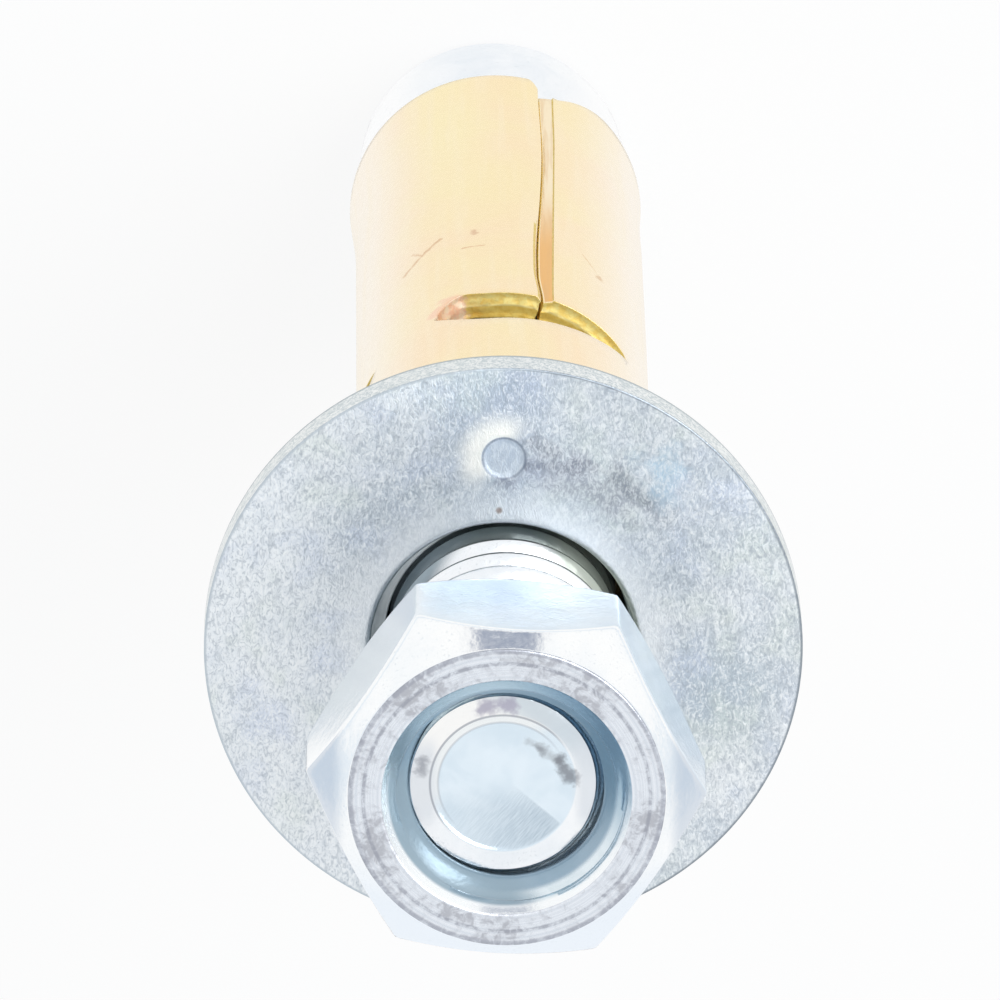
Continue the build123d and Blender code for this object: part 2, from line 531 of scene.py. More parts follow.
def washer_zinc():
    """Tumbled zinc: short worm-like strokes and soft clouds, with a painted highlight and painted
    dark reflections round one struck dent, and painted shade at the rim's upper corner and lower
    edge.
    """
    s = Surface("zinc_tumbled")
    x, y, z = s.axes()
    worms = s.noise(3.3, 2.5, 0.6, 2.4, stretch=(1.0, 0.7, 1.0))
    strokes = s.noise(6.0, 2.0, 0.6, 1.4, stretch=(1.0, 0.4, 1.0))
    cloud = s.noise(0.3, 4.0, 0.6, 0.6)
    hue = s.noise(0.4, where=s.vector(x, s.plus(y, 31.0), z))
    s.base = s.mix(s.band(cloud, 0.34, 0.66), (200, 209, 217), (220, 226, 231))
    s.coat(s.band(x, 3.0, 11.0, 0.55), (236, 242, 247))
    s.coat(s.band(s.distance(x, y, -8.8, 1.8), 4.0, 0.5, 0.7), (172, 188, 200))
    s.coat(s.band(s.distance(x, y, 0.5, -11.4), 3.8, 0.5, 0.8), (164, 176, 194))
    s.coat(s.band(hue, 0.5, 0.72, 0.4), (192, 204, 228))
    s.coat(s.band(hue, 0.48, 0.3, 0.35), (214, 224, 214))
    s.coat(s.band(worms, 0.5, 0.64, 0.55), (240, 244, 247))
    s.coat(s.band(worms, 0.48, 0.34, 0.5), (162, 172, 184))
    s.coat(s.band(strokes, 0.5, 0.36, 0.4), (164, 174, 184))
    s.coat(s.band(strokes, 0.55, 0.68, 0.4), (244, 247, 248))
    # Round the dent: a painted highlight on one side, fibrous grey painted reflections on the
    # other, and a painted shade line round its edge.
    away = s.distance(x, y, 0.0, -DENT_DISTANCE)
    ring = s.between(away, 0.9, 0.98, 1.15, 2.3)
    slant = s.times(s.plus(y, DENT_DISTANCE), 0.6)
    slant = s.math("DIVIDE", s.minus(s.times(x, 0.8), slant), away)
    painted_dent_highlight = s.times(ring, s.band(slant, -0.2, 0.6))
    threads = s.band(s.plus(worms, strokes), 1.15, 0.85, 1.0, 0.4)
    painted_dent_reflections = (
        ((-1.3, -7.9), (-4.8, -7.0), 1.7, 0.5, (162, 165, 178)),
        ((-4.4, -7.2), (-6.2, -6.2), 1.3, 0.5, (156, 162, 174)),
        ((-1.2, -9.1), (-2.2, -8.6), 0.7, 0.5, (128, 132, 146)),
        ((-1.1, -8.2), (-3.9, -8.1), 0.5, 0.5, (130, 134, 150)),
        ((-4.7, -7.6), (-5.9, -6.6), 0.7, 0.5, (126, 134, 144)),
        ((0.1, -7.5), (-0.4, -7.3), 0.5, 0.45, (124, 128, 152)),
        ((-6.4, -8.2), (-6.8, -7.4), 1.3, 0.55, (186, 218, 238)),
    )
    s.scuff(x, y, painted_dent_reflections, 0.9, 0.0, threads)
    s.coat(painted_dent_highlight, (255, 254, 248))
    dull = s.mix(s.band(strokes, 0.38, 0.64), (200, 211, 223), (216, 225, 234))
    s.coat(s.band(away, 0.92, 0.86), dull)
    # Painted shade line along the dent's edge.
    s.coat(s.times(s.between(away, 0.8, 0.88, 0.9, 0.98), 0.55), (112, 124, 146))
    # The hole's surround and the rim's wall are paler, and painted shade darkens the wall's upper
    # corner, most towards -x, and the washer's lower edge.
    hub = s.distance(x, y, 0.0, 0.0)
    s.coat(s.band(hub, 7.7, 5.8, 0.65), (240, 244, 247))
    rust = s.distance(x, y, 0.2, -6.2)
    s.coat(s.band(rust, 0.2, 0.06, 0.75), (146, 122, 108))
    level = s.band(s.upward(), 0.3, 0.9)
    wall = s.mix(s.band(strokes, 0.42, 0.58), (204, 214, 216), (252, 254, 252))
    s.coat(s.times(s.minus(1.0, level), 0.8), wall)
    # Painted shade along the rim's upper corner, darker towards -x.
    upper = s.times(s.band(hub, 12.36, 12.44), s.band(s.upward(), 0.15, 0.4))
    tone = s.mix(s.band(x, 1.0, -2.5), (184, 195, 204), (122, 132, 142))
    s.coat(s.times(upper, 0.8), tone)
    # Painted shade along the washer's lower edge.
    s.coat(s.band(z, WASHER_BOTTOM + 0.28, WASHER_BOTTOM + 0.11, 0.8), (150, 164, 170))
    rough = s.plus(s.band(strokes, 0.3, 0.7, 0.12), 0.3)
    normal = s.bump(s.times(s.plus(strokes, worms), level), 0.012)
    normal = s.bump(s.noise(0.5), 0.05, before=normal)
    return s.finish(rough, normal)


def yellow_zinc():
    """Yellow passivated strip, with painted reflections that make it a deeper yellow in front and
    paler round its sides, and a few scratches and pocks in front.
    """
    s = Surface("zinc_yellow")
    x, y, z = s.axes()
    turn = s.math("ARCTAN2", s.times(x, -1.0), s.times(y, -1.0))
    around = s.times(turn, SLEEVE_RADIUS)
    cloud = s.noise(0.13, 3.0, 0.5, 0.5)
    streak = s.noise(1.6, stretch=(1.0, 1.0, 0.06))
    s.base = s.mix(s.band(cloud, 0.35, 0.65), (254, 235, 186), (255, 230, 190))
    # Painted reflection: a deeper yellow strip in front, below the window.
    painted_front_yellow = s.band(s.size(s.plus(around, 2.2)), 2.8, 0.3, 0.7)
    s.coat(s.times(painted_front_yellow, s.band(z, 30.0, 14.0)), (254, 240, 190))
    # Painted reflection: paler round the sides.
    aside = s.size(s.plus(around, -0.2))
    pale = s.times(s.band(aside, 2.6, 7.6, 0.85), s.band(aside, 15.0, 9.5))
    s.coat(pale, (255, 246, 232))
    s.coat(s.band(streak, 0.45, 0.7, 0.3), (255, 240, 208))
    marks = (
        ((-4.45, 27.95), (-2.6, 26.1), 0.19, 0.75, (218, 174, 126)),
        ((-4.0, 26.1), (-3.5, 27.0), 0.12, 0.75, (226, 186, 142)),
        ((-1.5, 28.25), (-0.6, 28.35), 0.13, 0.75, (228, 184, 140)),
        ((-1.02, 26.3), (-1.02, 26.7), 0.22, 0.75, (222, 180, 140)),
        ((3.9, 26.7), (4.6, 27.8), 0.08, 0.75, (236, 200, 150)),
        ((4.76, 28.1), (4.76, 28.3), 0.26, 0.75, (226, 188, 140)),
        ((2.9, 7.2), (2.95, 7.6), 0.16, 0.75, (150, 110, 70)),
    )
    s.scuff(around, z, marks, 3.0, 0.1)
    torn = s.stroke(around, z, (-2.85, 35.3), (-2.2, 34.3), 0.6, 1.5, 0.2)
    s.coat(s.times(torn, 0.8), (252, 208, 178))
    rough = s.band(s.noise(4.0, 3.0, 0.6), 0.3, 0.7, 0.3, 0.22)
    normal = s.bump(streak, 0.006)
    normal = s.bump(s.noise(0.5), 0.02, before=normal)
    return s.finish(rough, normal)


def sheared_edge():
    """The cut walls of the sleeve: soft olive gold, with painted shade on their outer edge and
    inner band, a painted highlight along the ridge, and a torn pink corner at the window.
    """
    s = Surface("zinc_yellow_cut", 0.4)
    x, y, z = s.axes()
    radius = s.distance(x, y, -0.2, 0.0)
    layers = s.noise(3.0, 3.0, 0.6, 0.4)
    grains = s.noise(7.0, 2.0, 0.6)
    outer = s.mix(s.band(layers, 0.35, 0.65), (250, 222, 128), (255, 242, 164))
    outer = s.mix(s.band(grains, 0.55, 0.75, 0.4), outer, (226, 192, 100))
    # Painted shade towards the wall's outside edge.
    outer = s.mix(s.band(radius, 6.1, 6.28, 0.5), outer, (206, 176, 90))
    # Painted shade: the inner band is darker.
    inner = s.mix(s.band(layers, 0.35, 0.65), (242, 206, 100), (253, 226, 128))
    s.base = s.mix(s.band(radius, 5.7, 5.8), inner, outer)
    # Painted highlight along the ridge between the bands.
    s.coat(s.times(s.between(radius, 5.66, 5.72, 5.76, 5.82), 0.8), (255, 240, 170))
    torn = s.stroke(x, z, (3.2, 36.0), (1.9, 34.5), 0.8, 1.5, 0.45)
    pink = s.mix(s.band(layers, 0.35, 0.65), (255, 232, 208), (250, 200, 172))
    s.coat(torn, pink)
    return s.finish(0.5, s.bump(layers, 0.02))


def slit_ledge():
    """The sheared ledge beside the front slit, pale near the foot and amber near the window."""
    s = Surface("zinc_yellow_ledge")
    height = s.axes()[2]
    drawn = s.noise(4.0, 2.0, 0.6, 0.3, stretch=(1.0, 1.0, 0.05))
    s.base = s.mix(s.band(height, 19.0, 28.0), (255, 238, 204), (244, 190, 112))
    s.coat(s.band(drawn, 0.4, 0.65, 0.4), (228, 184, 122))
    return s.finish(0.34, s.bump(drawn, 0.03))


def sleeve_inside():
    """The sleeve's bore and upper end: a grey-green painted shade, as the washer keeps them in
    shade, lighter towards +x.
    """
    s = Surface("zinc_bore_painted_shade", 0.4)
    x = s.axes()[0]
    cloud = s.noise(0.7, 3.0, 0.6, 0.5)
    s.base = s.mix(s.band(cloud, 0.35, 0.65), (168, 180, 180), (196, 206, 204))
    # Painted light: lighter towards +x.
    s.coat(s.band(x, 1.5, 4.0, 0.7), (234, 240, 244))
    return s.finish(0.45, s.bump(s.noise(4.0, 2.0, 0.6), 0.02))


def worn_face():
    """The nut's turned face ring, mottled grey by rubbing, most of all along its edge."""
    s = Surface("zinc_worn")
    x, y, _ = s.axes()
    radius = s.distance(x, y, 0.0, 0.0)
    rings = s.noise(9.0, 2.0, 0.6, where=s.vector(radius, 0.0, 0.0))
    blots = s.noise(2.6, 4.0, 0.65, 0.5)
    patches = s.noise(0.35, 2.0, 0.5, 0.3)
    worn = s.plus(blots, s.times(patches, 0.9))
    s.base = s.mix(s.band(rings, 0.35, 0.65), (232, 237, 244), (216, 223, 232))
    s.coat(s.band(worn, 0.86, 1.1, 0.6), (190, 194, 202))
    s.coat(s.band(worn, 1.0, 1.18, 0.55), (158, 160, 168))
    line = s.between(radius, 5.75, 5.83, 5.9, 5.98)
    s.coat(s.times(line, s.band(blots, 0.35, 0.6, 0.7, 0.1)), (150, 154, 166))
    lip = s.times(s.band(radius, 6.22, 6.34), s.band(blots, 0.3, 0.6, 0.75, 0.2))
    s.coat(lip, (160, 164, 176))
    rough = s.band(worn, 0.8, 1.1, 0.36, 0.2)
    normal = s.bump(rings, 0.006)
    normal = s.bump(blots, 0.012, before=normal)
    return s.finish(rough, normal)


def thread_zinc():
    """Zinc in the nut's throat and thread, with painted reflections and shade: pale at one side,
    teal at the other, navy and less metallic deep in the thread, dimmed over a lamp glint on one
    side, and a painted highlight along the mouth's edge.
    """
    s = Surface("zinc_throat_painted_shade")
    x, y, _ = s.axes()
    radius = s.distance(x, y, 0.0, 0.0)
    cloud = s.noise(0.8, 3.0, 0.55, 0.5)
    # Painted reflection: paler towards +y, teal along one slant and towards +x.
    s.base = s.mix(s.band(y, -4.5, 3.5), (206, 222, 230), (228, 238, 244))
    s.coat(s.band(cloud, 0.4, 0.7, 0.3), (180, 200, 208))
    slant = s.minus(s.times(x, -0.86), s.times(y, 0.5))
    s.coat(s.band(slant, 2.0, 4.4, 0.7), (136, 170, 194))
    s.coat(s.band(x, 3.4, 4.7, 0.75), (150, 168, 176))
    # Painted shade deep in the thread, navy and less metallic so that it shows.
    deep_painted_shade = s.band(radius, 4.62, 4.4)
    s.coat(s.times(deep_painted_shade, 0.7), (100, 138, 164))
    # Painted shade that dims a lamp glint towards +x and +y, with less metal there.
    shiny = s.times(s.band(s.plus(x, y), 2.6, 4.6), s.band(radius, 5.0, 4.85))
    s.coat(s.times(shiny, 0.9), (146, 168, 182))
    dull = s.times(s.math("MAXIMUM", deep_painted_shade, shiny), 0.7)
    s.put(s.shader.inputs["Metallic"], s.minus(1.0, dull))
    # Painted highlight along the mouth's edge, towards +y.
    edge = s.times(s.band(radius, 4.78, 4.92), s.band(y, -2.0, 3.0))
    s.coat(s.times(edge, 0.9), (252, 254, 255))
    return s.finish(0.22, s.bump(s.noise(5.0), 0.006))


ZINC_STUD = stud_zinc()
ZINC_NUT = nut_zinc()
ZINC_YELLOW = yellow_zinc()
ZINC_CUT = sheared_edge()
ZINC_LEDGE = slit_ledge()
ZINC_INSIDE = sleeve_inside()
ZINC_WORN = worn_face()
ZINC_THROAT_PAINTED = thread_zinc()


# Stud.
def outer_thread(phase):
    """Radius of the rolled thread: rounded root, straight flanks and a narrow crest."""
    away = np.abs(phase - 0.5) * 2
    rise = np.clip((away - 0.22) / 0.64, 0, 1)
    smooth = rise * rise * (3 - 2 * rise)
    return THREAD_ROOT + (THREAD_RADIUS - THREAD_ROOT) * (0.6 * rise + 0.4 * smooth)


def tip_radius(drop):
    """Radius of the stud's rolled end at a depth below its end face: a shallow rim, then steep."""
    rim = TIP_FACE + (TIP_SHOULDER - TIP_FACE) * np.clip(drop / TIP_DROP, 0, 1) ** 0.8
    return rim + 1.05 * (np.clip(drop - TIP_DROP, 0, None) / 1.4) ** 0.8


def stud_thread_radius(phase, z):
    """The thread, growing out of the shank at its foot and cut back by the rolled end."""
    grown = ease(z, STUD_TOP - THREAD_LENGTH, STUD_TOP - THREAD_LENGTH + 1.6 * PITCH)
    full = SHANK_RADIUS + (outer_thread(phase) - SHANK_RADIUS) * grown
    return np.minimum(full, tip_radius(STUD_TOP - z))


def build_stud():
    columns = 144
    thread_foot = STUD_TOP - THREAD_LENGTH - THREAD_RUNOUT
    corners = [
        (0.0, 0.0), (CONE_RADIUS - CONE_EDGE, 0.0), (CONE_RADIUS, CONE_EDGE),
        (CONE_RADIUS, CONE_BAND), (SHANK_RADIUS, CONE_TOP), (SHANK_RADIUS, thread_foot),
    ]
    profile = subdivided(rounded_profile(corners, [0, 0.12, 0.15, 0.3, 2.5, 0], 5), 0.9)
    angle = 360.0 * np.arange(columns) / columns
    rings = polar(profile[1:, :1], angle[None, :], profile[1:, 1:])
    points = [rings.reshape(-1, 3)]
    faces = ring_faces(len(rings), columns)
    start = len(points[0])
    thread_end = STUD_TOP - TIP_DROP
    helix, helix_faces = helix_sheet(thread_foot, thread_end, columns, 20, stud_thread_radius)
    points.append(helix)
    faces += [tuple(corner + start for corner in face) for face in helix_faces]
    start += len(helix)
    # The end: a lumpy rolled rim round a sheared face that isn't quite flat.
    reach = np.concatenate([np.linspace(TIP_SHOULDER, TIP_FACE, 12), np.linspace(2.93, 0.12, 30)])
    drop = TIP_DROP * (np.clip(reach - TIP_FACE, 0, None) / (TIP_SHOULDER - TIP_FACE)) ** 1.25
    grid_r, grid_a = np.meshgrid(reach, angle, indexing="ij")
    x, y = grid_r * np.cos(np.radians(grid_a)), grid_r * np.sin(np.radians(grid_a))
    lumps = waves(x, y, 0, 1.1, 21) * ease(grid_r, 2.9, 3.2) * (1 - ease(grid_r, 3.6, 3.79))
    hollow = 0.05 * (1 - ease(grid_r, 2.8, 2.98)) * (1 + 0.5 * waves(x, y, 0, 2.0, 3))
    # A shallow struck mark near the rim.
    hollow += 0.03 * np.exp(-(((x + 2.2) / 0.5) ** 2 + ((y + 0.8 + 0.8 * (x + 2.2)) / 0.25) ** 2))
    z = STUD_TOP - drop[:, None] - np.clip(hollow + 0.022 * np.clip(lumps + 0.3, 0, None), 0, None)
    points.append(np.stack([x, y, z], -1).reshape(-1, 3))
    faces += ring_faces(len(reach), columns, start)
    last = start + (len(reach) - 1) * columns
    start += x.size
    points.append(np.array([[0.0, 0.0, float(z[-1].mean())], [0.0, 0.0, 0.0]]))
    faces += [(last + j, last + (j + 1) % columns, start) for j in range(columns)]
    faces += [((j + 1) % columns, j, start + 1) for j in range(columns)]
    points, faces, _ = merged(np.concatenate(points), faces, [0] * len(faces))
    points[:, 0] += TIP_ASIDE * ease(points[:, 2], STUD_TOP - 3.74, STUD_TOP - 0.74)
    piece = new_piece("stud", points, faces, [ZINC_STUD], 50)
    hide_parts("cone_stud")
    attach(piece, "stud")


# Sleeve: slits and windows are laid out in degrees from each slit's heading, the front one first.
SLEEVE_WALL = 1.2
FLARE_LENGTH = 6.0
FLARE_STEP = sleeve_high[0] - SLEEVE_RADIUS
SLIT_HEADINGS = (-107.5, 12.5, 132.5)
HALF_LEAF = 60
SLIT_HALF = 0.275
SLIT_HEAD = SLEEVE_FOOT + 29.8
WINDOW_ANGLE = 42.25
WINDOW_RISE = 1.55
WINDOW_TILT = math.tan(math.radians(8.0))
FRONT_LEAD = 2.9
FOLD_FOOT = 24.5
EDGE_ROUND = 0.07
OUTSIDE, CUT, LEDGE, INSIDE = range(4)


def slit_edge(z, side, front):
    """Angle from a slit's heading at which the leaf on that side ends."""
    if front:
        line = 0.2 + 3.0 * ease(z, 15, 30) - 1.6 * ease(z, 31, 34.2)
        return line + side * (0.36 + 0.2 * ease(z, 33.6, 34.6))
    mouth = 0.42 * np.clip(1 - (z - SLEEVE_FOOT) / 1.5, 0, 1)
    return side * np.degrees((SLIT_HALF + mouth) / SLEEVE_RADIUS)


def ledge_line(z, side, front):
    """A line beside the slit. In front, the leaf to the right has a sheared ledge up to it."""
    if front and side < 0:
        return -5.7 + 3.1 * np.clip((z - 8.3) / 24.7, 0, 1)
    return slit_edge(z, side, front) + side * 4.0


def leaf_foot(offset, side, front):
    """Height at which a leaf starts: in front, both leaves are clipped at their corner."""
    if not front:
        return SLEEVE_FOOT + 0 * offset
    if side > 0:
        return SLEEVE_FOOT + 2.0 * np.clip((6.7 - offset) / 6.5, 0, 1) ** 2.2
    return SLEEVE_FOOT + 1.4 * np.clip((30 + offset) / 25, 0, 1) ** 1.8


def window_edges(offset, front):
    """Lower and upper edge of a window at angles from its slit's heading, equal past its ends."""
    lead = FRONT_LEAD if front else 0.0
    reach = np.clip((offset - lead) / WINDOW_ANGLE, -1, 1)
    if front:
        middle = SLIT_HEAD - 0.54 + 0.45 * reach
        open_part = np.sqrt(1 - np.abs(reach) ** 7)
        low = SLIT_HEAD - 1.69 - 0.45 * np.exp(-(((offset - 35) / 7) ** 2))
        from_peak = offset - 20.5
        bow = np.where(from_peak < 0, 2.7 * (from_peak / 62) ** 2, 0.9 * (from_peak / 20) ** 2)
        high = SLIT_HEAD + 1.52 - bow
        low = middle - (middle - low) * open_part
        high = middle + (high - middle) * open_part
    else:
        half = SLEEVE_RADIUS * math.sin(math.radians(WINDOW_ANGLE))
        across = np.clip(SLEEVE_RADIUS * np.sin(np.radians(offset)), -half, half)
        middle = SLIT_HEAD + across * WINDOW_TILT
        bow = (half**2 + WINDOW_RISE**2) / (2 * WINDOW_RISE)
        rise = np.clip(np.sqrt(bow**2 - across**2) - bow + WINDOW_RISE, 0, None)
        low, high = middle - rise, middle + rise
    room = HALF_LEAF - WINDOW_ANGLE - lead
    beyond = np.clip((np.abs(offset - lead) - WINDOW_ANGLE) / room, 0, 1)
    return low + (SLIT_HEAD - low) * beyond, high + (SLIT_HEAD - high) * beyond


def sleeve_sheet():
    """The wall laid out flat, as angle and height, with its slits and windows left open."""
    ledge_share = np.array([0, 0.22, 0.45, 0.66, 0.82, 0.93])
    wide_share = np.linspace(0, 1, 56)
    low_rows, high_rows = 48, 22
    flat, faces, kinds = [], [], []

    def add_grid(angle, z, side, kind_of):
        start = sum(len(f) for f in flat)
        flat.append(np.stack([(angle % 360).ravel(), z.ravel()], -1))
        rows, columns = z.shape
        for i in range(rows - 1):
            for j in range(columns - 1):
                a = start + i * columns + j
                quad = (a, a + 1, a + 1 + columns, a + columns)
                faces.append(quad if side > 0 else quad[::-1])
                kinds.append(kind_of(j, z[i, j]))

    def lower_kind(side, front):
        """What the wall below a window is, by column from the slit and by height."""
        last = len(ledge_share) - 1

        def kind_of(column, z):
            if front and side < 0 and column <= last:
                return LEDGE if column < last else CUT
            if front and side > 0 and column < 2 and z > FOLD_FOOT:
                return CUT
            return OUTSIDE
        return kind_of

    for index, heading in enumerate(SLIT_HEADINGS):
        front = index == 0
        for side in (-1, 1):

            def columns_at(z):
                edge, line = slit_edge(z, side, front), ledge_line(z, side, front)
                near = edge + (line - edge) * ledge_share
                wide = line + (side * HALF_LEAF - line) * wide_share
                return np.concatenate([near, wide], -1)

            nominal = columns_at(np.array([[SLIT_HEAD - 1.7]]))
            low_edge, _ = window_edges(nominal, front)
            foot = leaf_foot(nominal, side, front)
            z = foot + (low_edge - foot) * np.linspace(0, 1, low_rows)[:, None]
            offset = np.stack([columns_at(row[:1]) for row in z[:-1]] + [nominal.ravel()])
            add_grid(heading + offset, z, side, lower_kind(side, front))
            offset = np.concatenate([[[0.0]], nominal[:, (nominal * side > 0.3).ravel()]], 1)
            _, high_edge = window_edges(offset, front)
            z = high_edge + (SLEEVE_TOP - high_edge) * np.linspace(0, 1, high_rows)[:, None]
            add_grid(heading + offset + 0 * z, z, side, lambda column, height: OUTSIDE)
    return merged(np.concatenate(flat), faces, kinds, 1e-3)


def sleeve_point(angle, z, depth):
    """A point of the wall at a depth below its outside. The loose sleeve hangs to one side."""
    flare = np.clip((SLEEVE_FOOT + FLARE_LENGTH - z) / FLARE_LENGTH, 0, 1) ** 2 * FLARE_STEP
    turn = np.radians(angle)
    x, y = np.cos(turn), np.sin(turn)
    radius = SLEEVE_RADIUS + flare - depth - 0.01 * (1 + waves(6 * x, 6 * y, z * 0.4, 5.0, 11))
    offset = (angle - SLIT_HEADINGS[0] + 180) % 360 - 180
    outer = (1 - depth / SLEEVE_WALL) * (z < SLIT_HEAD - 0.9)
    line, edge = ledge_line(z, -1, True), slit_edge(z, -1, True)
    on_ledge = (offset > line + 0.02) & (offset < edge + 0.02)
    radius -= np.where(on_ledge, 0.08 + 0.16 * (offset - line) / (edge - line), 0) * outer
    edge = slit_edge(z, 1, True)
    folded = np.clip(1 - (offset - edge) / 2.2, 0, 1) * (offset > edge - 0.02) * ease(z, 22, 28)
    radius -= 0.2 * folded * outer
    aside = 0.08 + 0.12 * ease(z, 6, 14)
    return np.stack([radius * x - aside, radius * y, z], -1)


def build_sleeve():
    flat, faces, kinds = sleeve_sheet()
    outside = sleeve_point(flat[:, 0], flat[:, 1], 0.0)
    inside = sleeve_point(flat[:, 0], flat[:, 1], SLEEVE_WALL)
    edges = {(a, b) for face in faces for a, b in zip(face, face[1:] + face[:1])}
    border = sorted(edge for edge in edges if edge[::-1] not in edges)
    # At each border point, the way into the wall along its surface.
    into = np.zeros_like(outside)
    radial = outside * (1, 1, 0)
    radial /= np.linalg.norm(radial, axis=1)[:, None]
    for a, b in border:
        along = outside[b] - outside[a]
        into[[a, b]] += np.cross(radial[a], along / max(np.linalg.norm(along), 1e-9))
    into /= np.maximum(np.linalg.norm(into, axis=1), 1e-9)[:, None]
    count = len(outside)
    points = [outside + into * EDGE_ROUND, inside + into * EDGE_ROUND]
    all_faces = faces + [[c + count for c in reversed(face)] for face in faces]
    kinds = kinds + [INSIDE] * len(faces)
    # Down the cut: a rounded edge, two bands with a ridge between, and a rounded edge.
    ring = np.array(sorted({point for edge in border for point in edge}))
    place = {int(point): k for k, point in enumerate(ring)}
    turns = np.radians([30, 60, 90])
    rows = [(EDGE_ROUND * (1 - math.sin(t)), EDGE_ROUND * (1 - math.cos(t)), 0.0) for t in turns]
    for share in (0.12, 0.26, 0.38, 0.46, 0.5, 0.54, 0.62, 0.76, 0.9):
        ridge = 0.07 * (1 - abs(share - 0.5) * 2) - 0.02
        rows.append((0.06 - ridge, EDGE_ROUND + (SLEEVE_WALL - 2 * EDGE_ROUND) * share, 1.0))
    rows += [
        (EDGE_ROUND * (1 - math.cos(t)), SLEEVE_WALL - EDGE_ROUND * (1 - math.sin(t)), 0.0)
        for t in np.radians([0, 30, 60])
    ]
    for k, (offset, depth, torn) in enumerate(rows):
        spot = sleeve_point(flat[ring, 0], flat[ring, 1], depth) + into[ring] * offset
        rough = waves(spot[:, 0] * 1.5, spot[:, 1] * 1.5, spot[:, 2] * 1.5 + 3 * k, 0.6, 40 + k)
        points.append(spot + into[ring] * (0.02 * torn * rough)[:, None])
    width = len(ring)
    layers = [lambda p: p]
    layers += [lambda p, k=k: 2 * count + k * width + place[p] for k in range(len(rows))]
    layers.append(lambda p: count + p)
    for a, b in border:
        top = flat[a, 1] > SLEEVE_TOP - 0.01
        for k in range(len(layers) - 1):
            all_faces.append((layers[k](b), layers[k](a), layers[k + 1](a), layers[k + 1](b)))
            kinds.append(INSIDE if top else CUT if k >= 2 else OUTSIDE)
    materials = [ZINC_YELLOW, ZINC_CUT, ZINC_LEDGE, ZINC_INSIDE]
    piece = new_piece("sleeve", np.concatenate(points), all_faces, materials, 60, kinds)
    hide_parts("expansion_sleeve")
    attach(piece, "stud")


# Washer.
WASHER_BORE = 5.5525
DENT_RADIUS = 0.9


def build_washer():
    columns = 440
    top, low = WASHER_TOP, WASHER_BOTTOM
    seam = (WASHER_BORE + 0.6, low)
    corners = [
        seam, (WASHER_BORE, low), (WASHER_BORE, top), (WASHER_RADIUS, top), (WASHER_RADIUS, low),
        seam,
    ]
    profile = subdivided(rounded_profile(corners, [0, 0.08, 0.3, 0.07, 0.07, 0], 6), 0.15)[:-1]
    angle = 360.0 * np.arange(columns) / columns
    points = polar(profile[:, :1], angle[None, :], profile[:, 1:])
    x, y, z = points[..., 0], points[..., 1], points[..., 2]
    upper = np.clip((z - (top - 0.25)) / 0.25, 0, 1)
    dent = np.hypot(x, y + DENT_DISTANCE)
    struck = -0.05 * (1 - ease(dent, DENT_RADIUS - 0.12, DENT_RADIUS))
    points[..., 2] += upper * (struck - 0.02 * (1 + waves(x, y, z, 5.0, 5)))
    rows = len(profile)
    faces = ring_faces(rows, columns)
    last = (rows - 1) * columns
    faces += [(last + j, last + (j + 1) % columns, (j + 1) % columns, j) for j in range(columns)]
    piece = new_piece("washer", points.reshape(-1, 3), faces, [washer_zinc()], 50)
    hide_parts("flat_washer")
    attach(piece, "washer")


# Nut.
NUT_FLATS = 14.29
NUT_ROLL = 3.5
NUT_FACE = 6.445
NUT_MOUTH = 5.1625
NUT_THROAT = 4.0
# How far its edges, its faces' rims and its mouths' lips are rounded.
EDGE = 0.035
RIM = 0.05
LIP = 0.04
PLAIN, WORN, THROAT_PAINTED = range(3)


def nut_outside(angle, z):
    """Radius of the hexagon with its corners turned back, every edge a little rounded.

    Found by halving between a radius inside the metal and one outside.
    """
    shape = np.broadcast(angle, z).shape
    low, high = np.full(shape, 4.0), np.full(shape, 10.0)
    headings = [np.radians(angle + 90 + NUT_ROLL - 60 * k) for k in range(6)]
    slope = math.sqrt(0.5)
    for _ in range(32):
        r = (low + high) / 2
        walls = [r * np.cos(heading) - NUT_FLATS / 2 for heading in headings]
        walls.append((r - NUT_FACE - (NUT_TOP - z)) * slope)
        walls.append((r - NUT_FACE - (z - NUT_BOTTOM)) * slope)
        walls = np.stack(np.broadcast_arrays(*walls))
        biggest = walls.max(0)
        level = biggest + EDGE * np.log(np.exp((walls - biggest) / EDGE).sum(0))
        high = np.where(level > 0, r, high)
        low = np.where(level > 0, low, r)
    return (low + high) / 2


def nut_thread_radius(phase, z):
    """The nut's thread, opened at both ends by its countersinks."""
    away = np.abs(phase - 0.5) * 2
    rise = np.clip((away - 0.2) / 0.62, 0, 1)
    inner = NUT_THROAT + (THREAD_RADIUS + 0.06 - NUT_THROAT) * rise
    mouth = NUT_MOUTH - LIP
    flare = np.maximum(mouth - (NUT_TOP - LIP - z), mouth - (z - NUT_BOTTOM - LIP))
    return np.maximum(inner, flare)


